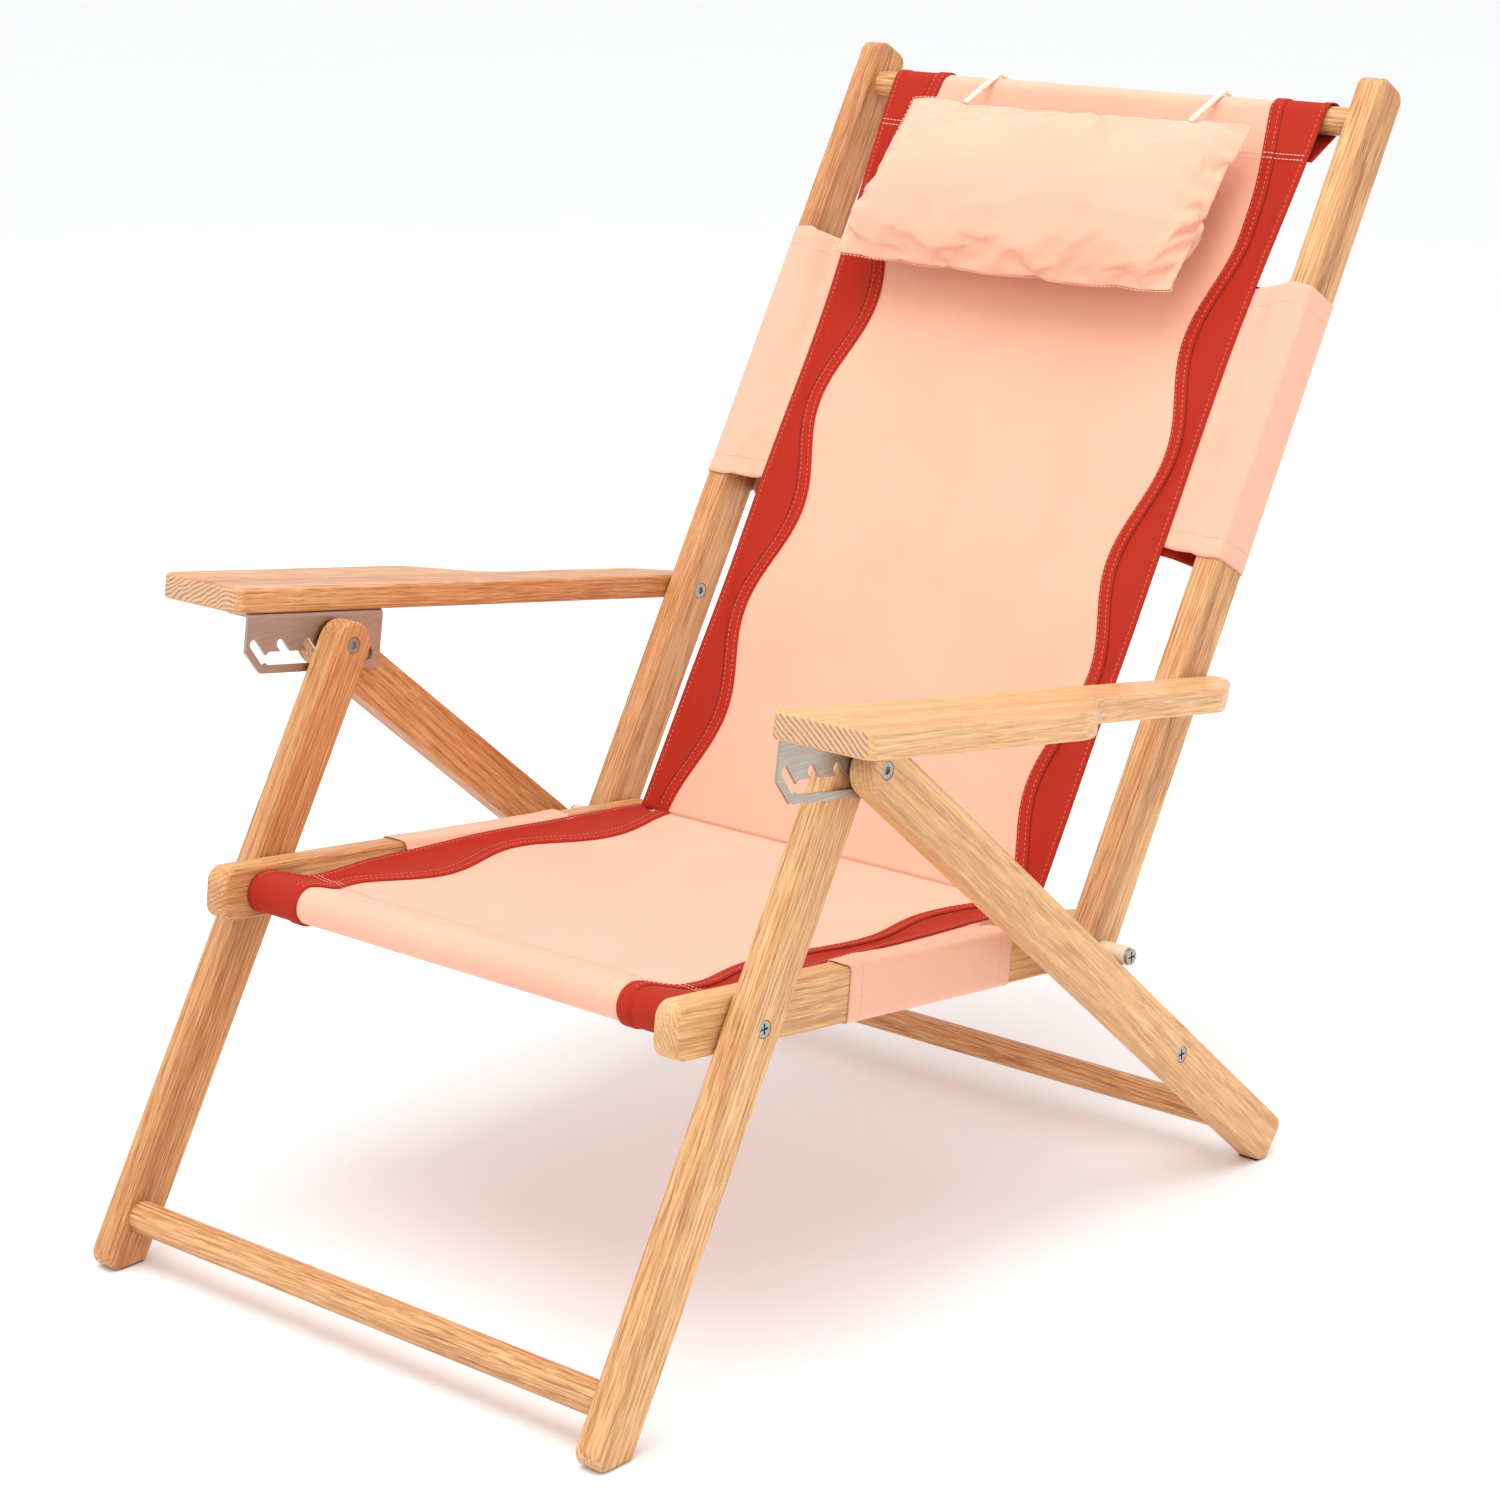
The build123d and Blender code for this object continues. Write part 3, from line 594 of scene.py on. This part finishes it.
def border(name, line, sag, inner, outer, way):
    """Red canvas strip, one edge cut in waves and sewn on the panel, the other hemmed."""
    vertices, uvs = [], []
    for s in line.places:
        base, out = line.at(s), line.normal(s)
        edge, width = inner(s), outer(s) - inner(s)
        flat = smooth((s - line.pocket + 0.02) / 0.03)
        columns = border_columns(width)
        for across in columns:
            x = edge + across
            height = BORDER_LIFT + sag(way * x, s) + border_relief(across, width, flat)
            vertices.append(point(way * x, base + out * height))
            uvs.append((x, s))
    return thicken(mesh_object(name, vertices, grid_faces(len(line.places), len(columns)), RED, uvs))


def border_threads(kind, line, sag, inner, outer, bend, side, way):
    """Stitch rows along a border: at its wavy edge, at the end of its band, in the groove there, and on the
    outer hem. The groove's row is near-black thread laid end to end, painted shade along the crease beside
    the band."""
    rows = (("inner", lambda s: inner(s) + 0.0022, 0.0011, THREAD_RED, 0.0042, 0.0028),
            ("band", lambda s: inner(s) + BAND - 0.0018, 0.0011, THREAD_RED, 0.0042, 0.0028),
            # Dark thread laid end to end in the groove: painted shade of the crease.
            ("groove", lambda s: inner(s) + BAND + 0.0014, 0.0, GROOVE_SHADE_THREAD, 0.0040, 0.0040),
            ("edge", lambda s: outer(s) - 0.0040, 0.0007, THREAD_RED, 0.0042, 0.0028))
    threads = []
    for row, x_of, height, thread, pitch, bow in rows:
        lift = BORDER_LIFT + 0.5 * CLOTH + height
        route, normals = along_line(line, sag, lambda s: way * x_of(s), lift, 0.006, line.length + 0.012)
        made = stitches(f"{kind}_stitch_{row}_{side}", route, normals, thread, pitch, bow, 0.0003)
        threads.append(bend(made))
    return threads


def panel(kind, line, sag, inner, outer, bend):
    """One half of the sling: peach panel between two red borders, with its stitching."""
    def edge(s):
        return inner(s) + 0.8 * BAND

    cloth = panel_cloth(f"{kind}_panel", line, sag, edge)
    bend(cloth)
    2 * edge(0.0)
    for side, way in SIDES:
        strip = border(f"{kind}_border_{side}", line, sag, inner, outer, way)
        threads = border_threads(kind, line, sag, inner, outer, bend, side, way)
        for piece in [bend(strip)] + threads:
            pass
    return cloth


seat_cloth = panel("seat", SEAT, seat_sag, seat_inner, seat_outer, bend_seat)
back_cloth = panel("back", BACK, back_sag, back_inner, back_outer, bend_back)
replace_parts(seat_cloth, "seat_sling")
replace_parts(back_cloth, "back_sling", "back_fold_strip")


def pocket_stitches(kind, line, sag, inner, outer, thread):
    """Double row of pale stitches that closes a dowel pocket, across the sling."""
    for row, shift in enumerate((-0.002, 0.002)):
        s = line.pocket + shift
        out, end = line.normal(s), outer(s) - 0.002
        route, normals = [], []
        for x in np.linspace(-end, end, 160):
            over = 0.6 * CLOTH
            if abs(x) > inner(s):
                over += BORDER_LIFT + border_relief(abs(x) - inner(s), outer(s) - inner(s), 1.0)
            route.append(point(x, line.at(s) + out * (over + sag(x, s))))
            normals.append((0.0, out[0], out[1]))
        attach(stitches(f"pocket_stitch_{kind}_{row}", route, normals, thread, 0.0034, 0.0028), kind)


pocket_stitches("back", BACK, back_sag, back_inner, back_outer, THREAD_WHITE)
pocket_stitches("seat", SEAT, seat_sag, seat_inner, seat_outer, THREAD_PEACH)


# ---- Rear pocket below the crease ----
def rear_pocket():
    """Canvas neck that hangs from the crease seam and wraps the rear dowel."""
    half, neck = 0.194, 0.42  # half its width, and the angle at which it leaves the dowel, in radians
    down = unit(BACK_PIVOT - CREASE)
    side = np.array([down[1], -down[0]])
    profile = [CREASE + side * 0.0008 + down * 0.0004]
    for angle in np.linspace(neck, 2 * math.pi - neck, 44):
        profile.append(BACK_PIVOT + REAR_POCKET_RADIUS * (math.cos(angle) * -down + math.sin(angle) * side))
    profile.append(CREASE - side * 0.0008 + down * 0.0004)
    xs = np.linspace(-half, half, 31)
    vertices, uvs, travelled = [], [], 0.0
    for i, p in enumerate(profile):
        travelled += np.linalg.norm(p - profile[i - 1]) if i else 0.0
        for x in xs:
            vertices.append(point(x, p))
            uvs.append((x, travelled))
    made = thicken(mesh_object("rear_pocket", vertices, grid_faces(len(profile), len(xs)), PEACH, uvs))
    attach(made, "back_pivots")


rear_pocket()


# ---- Sleeves round the uprights and rails ----
PLAY = 0.0006  # gap between a sleeve and its bar
SLEEVE_CLOTH, SLEEVE_HEM = 0.0008, 0.011


def sleeve_loop(edge_x, edge_h, half, layer):
    """Section of a sleeve as (across, out) from its bar's line: from the sling's edge round the bar and
    back. Also the number of its point where the red rear half begins."""
    inner_x, outer_x = layer
    corner, top = 0.0035, half + PLAY
    tuck, lap = edge_x - 0.005, edge_x + 0.003
    loop = [(tuck, edge_h), (lap, edge_h + 0.0005)]
    for t in (0.3, 0.6, 0.85):
        lean = smooth(t)
        loop.append((lap + t * (inner_x - lap), edge_h + lean * (top - edge_h) - 0.0012 * (1 - lean)))
    loop.append((inner_x + 0.003, top))
    corner_x = outer_x + PLAY - corner
    for corner_h, first in ((top - corner, 90), (corner - top, 0)):
        for k in range(6):
            angle = math.radians(first - 18 * k)
            loop.append((corner_x + corner * math.cos(angle), corner_h + corner * math.sin(angle)))
    turn = len(loop)
    loop.append((inner_x + 0.002, -top))
    for t in (0.15, 0.5, 0.8):
        loop.append((inner_x + t * (edge_x - inner_x), -top + smooth(t) * (edge_h - 0.004 + top)))
    loop.append((tuck, edge_h - 0.0012))
    return loop, turn


def run_parts(loop, step=0.0035):
    """How many parts to divide each run of a section into."""
    return [max(1, round(math.hypot(b[0] - a[0], b[1] - a[1]) / step)) for a, b in zip(loop, loop[1:])]


def resample(loop, parts):
    """Points along a section whose runs are divided into parts."""
    dense = []
    for a, b, count in zip(loop, loop[1:], parts):
        for t in range(count):
            dense.append((a[0] + (b[0] - a[0]) * t / count, a[1] + (b[1] - a[1]) * t / count))
    return dense + [loop[-1]]


def sleeve_hem(name, row, along, way):
    """Stitches over one row of a sleeve's points."""
    route, normals = [], []
    for before, here, after in zip(row, row[1:], row[2:]):
        normal = unit(np.cross(np.array(after) - np.array(before), point(0, along)) * way)
        route.append(here + Vector(normal) * SLEEVE_CLOTH * 0.55)
        normals.append(normal)
    return stitches(name, route, normals, THREAD_PEACH, 0.0038, 0.0026, 0.00022)


def sleeve(kind, line, sag, outer, origin, along, half, layer, span, side, way):
    """Canvas loop sewn to the sling's edge and round a bar, hemmed at both ends."""
    out = np.array([-along[1], along[0]])
    seed = layer[0] * 90 + way
    rows, vertices, uvs = 71, [], []
    for k in range(rows):
        t = k / (rows - 1)
        s = span[0] + t * (span[1] - span[0])
        place = float((origin + along * s - CREASE) @ line.along)
        seam = line.at(place) + line.out * (sag(way * outer(place), place) - 0.15 * CLOTH)
        loop, turn = sleeve_loop(outer(place), float((seam - origin) @ out), half, layer)
        if not k:
            parts = run_parts(loop)
            red_from = sum(parts[:turn + 1])
        dense = resample(loop, parts)
        end = min(t, 1 - t) * (span[1] - span[0])
        slack = 1 - smooth(end / 0.07)
        hem = 0.00035 * (1 - smooth((end - SLEEVE_HEM) / 0.001))
        travelled = 0.0
        for i, (x, h) in enumerate(dense):
            if i:
                travelled += math.hypot(x - dense[i - 1][0], h - dense[i - 1][1])
            free = 1 - smooth((x - layer[0] + 0.004) / 0.006)
            crumple = noise.noise(Vector((x * 45, s * 22, seed)))
            crumple += 0.5 * noise.noise(Vector((x * 110, s * 60, seed)))
            puff = free * 0.0026 * crumple if 2 < i < red_from else 0.0
            if h > half - 0.001:
                puff += hem + max(0.0, 0.0013 * crumple * slack)
            reach = 0.0035 * math.sin(math.pi * min(1.0, (x - 0.2) / 0.06)) - 0.003 * free
            shift = (1 if t > 0.5 else -0.6) * reach * slack if i < red_from else -0.004 * slack * (t < 0.5)
            vertices.append(point(way * x, origin + along * (s + shift) + out * (h + puff)))
            uvs.append((travelled, s))
    faces = grid_faces(rows, len(dense))
    made = mesh_object(f"{kind}_sleeve_cloth_{side}", vertices, faces, PEACH, uvs)
    made.data.materials.append(RED)
    for face in made.data.polygons:
        face.material_index = int(face.index % (len(dense) - 1) >= red_from)
    thicken(made, SLEEVE_CLOTH)
    hems = []
    for end, row in (("low", 5), ("high", rows - 6)):
        across = vertices[row * len(dense):][1:red_from - 3]
        hems.append(sleeve_hem(f"{kind}_sleeve_hem_{end}_{side}", across, along, way))
    for piece in [made] + hems:
        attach(piece, kind)
    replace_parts(made, f"{kind}_sleeve_{side}")


BACK_SPAN, SEAT_SPAN = (0.301, 0.517), (0.116, 0.293)  # where the sleeves are, from the bars' pivots

for side, way in SIDES:
    sleeve("back", BACK, back_sag, back_outer, BACK_PIVOT, UP_BACK, UPRIGHT_HALF, UPRIGHT_LAYER, BACK_SPAN,
           side, way)
    sleeve("seat", SEAT, seat_sag, seat_outer, SEAT_PIVOT, ALONG_RAIL, RAIL_HALF, RAIL_LAYER, SEAT_SPAN,
           side, way)


# ---- Pillow ----
PILLOW_LOW, PILLOW_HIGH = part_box("pillow")
PILLOW_SIZE = (PILLOW_HIGH[0] - PILLOW_LOW[0], 0.146, 0.056)  # across, along the back, and through
PILLOW_MIDDLE = middle("pillow")


def pillow_envelope(across, along, step=0.0046):
    """Two flat sheets joined round their edges, with fuller sides between the corners."""
    nx, ny = int(across / step), int(along / step)
    vertices, flat, index = [], [], {}
    for layer in (0, 1):
        for i in range(nx + 1):
            for j in range(ny + 1):
                rim = i in (0, nx) or j in (0, ny)
                if layer and rim:
                    index[layer, i, j] = index[0, i, j]
                    continue
                index[layer, i, j] = len(vertices)
                u, v = 2 * i / nx - 1, 2 * j / ny - 1
                height = 0.0 if rim else (0.010 if layer else -0.010) * (1 - u**4) * (1 - v**4)
                pucker = 0.0012 * math.sin(50 * u + 3) * v**6 + 0.0012 * math.sin(26 * v) * u**6
                height += pucker + 0.0014 * noise.noise(Vector((i * 0.3, j * 0.3, 3.0 * layer)))
                x = across / 2 * u + 0.007 * u * (1 - v * v)
                y = along / 2 * v + (0.017 if v < 0 else 0.010) * v * (1 - u * u)
                vertices.append((x, y, height))
                flat.append((u, v))
    faces = []
    for layer in (0, 1):
        for i in range(nx):
            for j in range(ny):
                face = [index[layer, i + di, j + dj] for di, dj in ((0, 0), (1, 0), (1, 1), (0, 1))]
                faces.append(tuple(face if layer else reversed(face)))
    return vertices, faces, np.array(flat)


EDGE_PRESS = 0.72  # share of the edges' wrinkles that the seam presses flat


def pillow_outline(co, flat):
    """Brings the puckered edges back to the pillow's outline: most of their wrinkles are pressed flat, and
    the pull of the filling goes."""
    half = np.array(PILLOW_SIZE[:2]) / 2
    # How far the middle of each edge stands out from its corners: right and left, then low and high.
    for axis, bulge in ((0, (-0.003, -0.004)), (1, (0.002, -0.003))):
        along = flat[:, 1 - axis]
        for end, rise in zip((-1, 1), bulge):
            rim = np.abs(flat[:, axis] - end) < 1e-6
            order = np.argsort(along[rim])
            near = np.clip((1 + end * flat[:, axis]) / 2, 0, 1)
            pulled = {c: np.polyval(np.polyfit(along[rim], co[rim, c], 6), along) for c in (axis, 2)}
            for c, line in pulled.items():
                wrinkle = (co[:, c] - line)[rim][order]
                co[:, c] -= EDGE_PRESS * np.interp(along, along[rim][order], wrinkle) * near**8
            wanted = end * (half[axis] + rise * (1 - along**2))
            co[:, axis] += (wanted - pulled[axis]) * near**1.5
    co[:, :2] = np.clip(co[:, :2], -half - 0.005, half + (0.003, 0.0015))
    co[:, 2] *= PILLOW_SIZE[2] / (co[:, 2].max() - co[:, 2].min())
    low, high = (1 - flat[:, 1]) / 2, (1 + flat[:, 1]) / 2
    co[:, 0] += 0.004 * high - 0.013 * low
    co[:, 2] += 0.003 * low - 0.005 * high * flat[:, 1] ** 2
    return co


PILLOW_FRAMES = 30


def inflate(made):
    """Fills the envelope in a cloth simulation with pressure."""
    cloth = made.modifiers.new("cloth", "CLOTH")
    settings = cloth.settings
    settings.quality, settings.mass = 6, 0.25
    settings.tension_stiffness = settings.compression_stiffness = 25
    settings.shear_stiffness, settings.bending_stiffness = 10, 0.4
    settings.use_pressure, settings.uniform_pressure_force = True, 4.0
    settings.effector_weights.gravity = 0.0
    cloth.collision_settings.use_collision = False
    cloth.point_cache.frame_start, cloth.point_cache.frame_end = 1, PILLOW_FRAMES
    for step in range(1, PILLOW_FRAMES + 1):
        bpy.context.scene.frame_set(step)
    freeze(made)
    bpy.context.scene.frame_set(1)


def pillow_seam(places, flat):
    """Stitches round the pillow, just inside its edge."""
    edge = [i for i, (u, v) in enumerate(flat) if max(abs(u), abs(v)) > 1 - 1e-6]
    edge.sort(key=lambda i: math.atan2(flat[i][1], flat[i][0]))
    centre = Vector(places.mean(axis=0))
    route = [Vector(places[i]) * 0.996 + centre * 0.004 for i in edge + edge[:1]]
    normals = [(0, *BACK.out)] * len(route)
    seam = stitches("pillow_seam", route, normals, THREAD_PEACH, 0.0040, 0.0030, 0.00035)
    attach(seam, "pillow")


def make_pillow():
    vertices, faces, flat = pillow_envelope(0.352, 0.170)
    uvs = [(v[0], v[1]) for v in vertices]
    made = mesh_object("head_pillow", vertices, faces, PEACH, uvs)
    inflate(made)
    co = pillow_outline(np.array([v.co[:] for v in made.data.vertices]), flat)
    co[co[:, 2] < 0, 2] *= 0.82  # flatter where it lies on the back panel
    up, out = BACK.along, BACK.out
    places = np.stack([co[:, 0], PILLOW_MIDDLE[0] + co[:, 1] * up[0] + co[:, 2] * out[0],
                       PILLOW_MIDDLE[1] + co[:, 1] * up[1] + co[:, 2] * out[1]], axis=1)
    for vertex, place in zip(made.data.vertices, places):
        vertex.co = place
    made.data.update()
    smoother = made.modifiers.new("smooth", "SUBSURF")
    smoother.levels = smoother.render_levels = 1
    freeze(made)
    made.data.polygons.foreach_set("use_smooth", [True] * len(made.data.polygons))
    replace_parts(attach(made, "pillow"), "pillow")
    pillow_seam(places, flat)


make_pillow()


# ---- Pillow cords ----
CORD_RADIUS, CORD_X = 0.0025, 0.109
WEIGHT = middle("counterweight")
# From the tie on the pillow, over the top dowel, and straight down to the counterweight.
CORD_ROUTE = [(0.3749, 0.7803), (0.4171, 0.8002), (0.4250, 0.7997), (0.4318, 0.7954), (0.4356, 0.7884),
              (0.4356, 0.7544), (0.4356, 0.6699)]


def nurbs_points(name, corners, x):
    """Points of a smooth curve that is led by side-view corners, all at one X."""
    curve = bpy.data.curves.new(name, "CURVE")
    curve.dimensions, curve.resolution_u = "3D", 24
    spline = curve.splines.new("NURBS")
    spline.points.add(len(corners) - 1)
    for control, corner in zip(spline.points, corners):
        control.co = (*point(x, corner), 1.0)
    spline.order_u, spline.use_endpoint_u = 3, True
    holder = bpy.data.objects.new(name, curve)
    bpy.context.scene.collection.objects.link(holder)
    bpy.context.view_layer.update()
    mesh = bpy.data.meshes.new_from_object(holder)
    points = [np.array(v.co) for v in mesh.vertices]
    bpy.data.objects.remove(holder)
    return points


def rope(name, path, strands=3, twist=0.011, step=0.0007):
    """Laid rope along a path, and its length: strands that wind round its line, one turn in each twist."""
    path = np.array(path)
    steps = distances(path)
    count = int(steps[-1] / step)
    line = np.array([on_route(t, steps, path) for t in np.linspace(0, steps[-1], count)])
    forward = np.gradient(line, axis=0)
    across = np.array([1.0, 0.0, 0.0])
    vertices, faces, sides, thick = [], [], 8, 0.54 * CORD_RADIUS
    for strand in range(strands):
        faces += tube_faces(len(vertices), count, sides)
        for i, centre in enumerate(line):
            along = unit(forward[i])
            up = unit(np.cross(across, along))
            angle = 2 * math.pi * (strand / strands + i * step / twist)
            core = centre + (CORD_RADIUS - thick) * (math.cos(angle) * across + math.sin(angle) * up)
            for c in range(sides):
                b = 2 * math.pi * c / sides
                vertices.append(core + thick * (math.cos(b) * across + math.sin(b) * up))
    return mesh_object(name, vertices, faces, ROPE), float(steps[-1])


def pillow_cord(side, way):
    """One cord in two pieces that meet over the top dowel: from the pillow up, and from there down to the
    counterweight.
    """
    route = nurbs_points(f"route_{side}", CORD_ROUTE, way * CORD_X)
    crest = max(range(len(route)), key=lambda i: route[i][2])
    front, front_length = rope(f"pillow_cord_front_{side}", route[:crest + 1])
    rear, rear_length = rope(f"pillow_cord_rear_{side}", route[crest:])
    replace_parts(front, f"pillow_cord_{side}")
    for cord, body, start, end in ((front, "pillow", CORD_ROUTE[1], CORD_ROUTE[0]),
                                   (rear, "counterweight", CORD_ROUTE[4], CORD_ROUTE[6])):
        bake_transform(cord)


for side, way in SIDES:
    pillow_cord(side, way)


# ---- Counterweight ----
def make_counterweight():
    """Filled canvas roll with gathered ends."""
    radius, half = 0.0148, 0.1275
    rings, sides = 61, 40
    vertices, uvs = [], []
    for i in range(rings):
        u = 2 * i / (rings - 1) - 1
        size = radius * (1 - abs(u) ** 14) ** 0.4 * (0.97 + 0.03 * math.cos(9 * u))
        for c in range(sides + 1):
            a = 2 * math.pi * c / sides
            pucker = 1 + 0.05 * math.sin(11 * a) * smooth((abs(u) - 0.86) / 0.12)
            pucker += 0.025 * noise.noise(Vector((u * 9, math.cos(a) * 1.5, math.sin(a) * 1.5)))
            r = min(size * pucker, radius)
            vertices.append(point(half * u, WEIGHT + r * np.array([math.cos(a), math.sin(a)])))
            uvs.append((half * u, radius * a))
    made = mesh_object("counterweight_roll", vertices, grid_faces(rings, sides + 1), PEACH, uvs)
    welded = bmesh.new()
    welded.from_mesh(made.data)
    bmesh.ops.remove_doubles(welded, verts=welded.verts, dist=1e-6)
    welded.to_mesh(made.data)
    welded.free()
    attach(made, "counterweight")
    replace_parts(made, "counterweight")


make_counterweight()


# ---- Stage, light and camera ----
def stage():
    bpy.ops.mesh.primitive_plane_add(size=60)
    floor = bpy.context.object
    floor.name = "floor"
    paper = plain("pale_floor", (0.945, 0.955, 0.965, 1.0), 0.9, 0.004, 2.0)
    floor.data.materials.append(paper)
    world = bpy.data.worlds.new("studio")
    world.use_nodes = True
    world.node_tree.nodes["Background"].inputs["Color"].default_value = (1.0, 1.0, 1.0, 1.0)
    world.node_tree.nodes["Background"].inputs["Strength"].default_value = 1.0
    bpy.context.scene.world = world


def area_light(name, place, target, size, power, colour=(1.0, 0.99, 0.98)):
    data = bpy.data.lights.new(name, "AREA")
    data.shape, data.size, data.energy, data.color = "DISK", size, power, colour
    lamp = bpy.data.objects.new(name, data)
    lamp.location = place
    lamp.rotation_euler = (Vector(target) - Vector(place)).to_track_quat("-Z", "Y").to_euler()
    bpy.context.scene.collection.objects.link(lamp)


def camera():
    """The photograph's view, from a fit of the chair's corners and pivots."""
    data = bpy.data.cameras.new("camera")
    data.sensor_fit, data.sensor_width, data.lens = "HORIZONTAL", 36.0, 86.94
    eye = bpy.data.objects.new("camera", data)
    right, up = Vector((0.75555, 0.65509, 0.0)), Vector((-0.17960, 0.20714, 0.96168))
    turned = Matrix((right, up, right.cross(up))).transposed()
    eye.matrix_world = Matrix.Translation((1.6945, -1.9697, 1.0756)) @ turned.to_4x4()
    bpy.context.scene.collection.objects.link(eye)
    bpy.context.scene.camera = eye


stage()
area_light("overhead", (0.3, -0.6, 3.2), (0, 0, 0.3), 3.0, 66)
area_light("front_left", (-2.4, -2.6, 2.0), (0, 0, 0.4), 1.8, 8)
area_light("front_right", (2.9, -1.4, 1.8), (0, 0, 0.4), 1.6, 8)
camera()
bpy.context.scene.view_settings.view_transform = "Standard"
